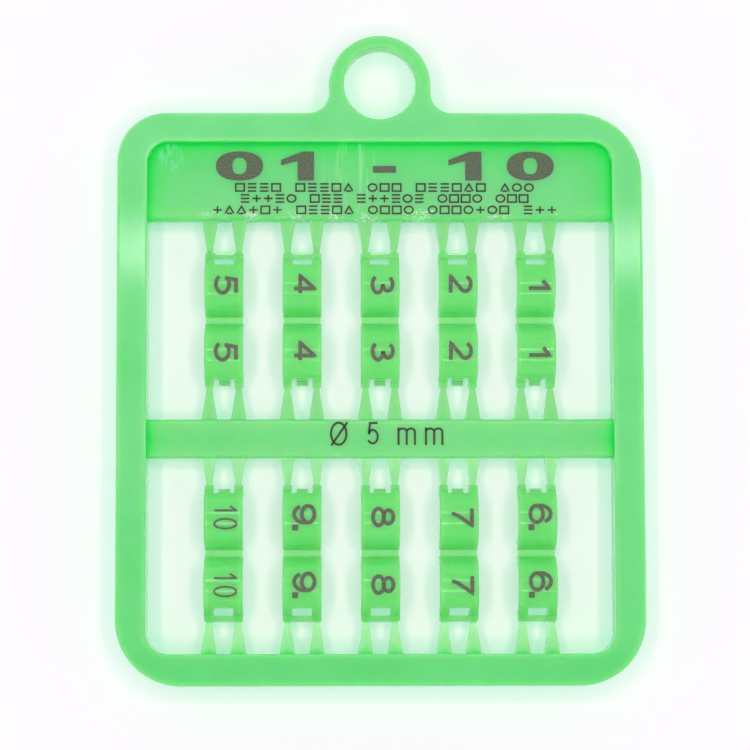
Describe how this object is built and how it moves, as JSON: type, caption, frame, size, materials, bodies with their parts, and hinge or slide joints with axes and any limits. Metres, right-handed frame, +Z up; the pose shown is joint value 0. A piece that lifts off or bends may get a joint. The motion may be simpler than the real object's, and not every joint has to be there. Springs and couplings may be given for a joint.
{
  "type": "poultry leg band card",
  "caption": "Flat moulded card that carries two rows of hinged clip-on leg bands for poultry on small break-off gates, with a hanging loop at one end.",
  "frame": {"origin": "centre of the card's outline, on the plane that it lies on, under its lowest points", "axes": "+Z up out of the printed side as the card lies flat, +Y along the card's length toward the hanging loop, +X to the right as the print side is seen with the loop at the top"},
  "size_m": [0.056, 0.0694, 0.0045],
  "materials": {
    "mint_green_plastic": "satin",
    "dark_print": "matt"
  },
  "bodies": {
    "root": {"leg_band_card": "mint_green_plastic"}
  },
  "joints": []
}
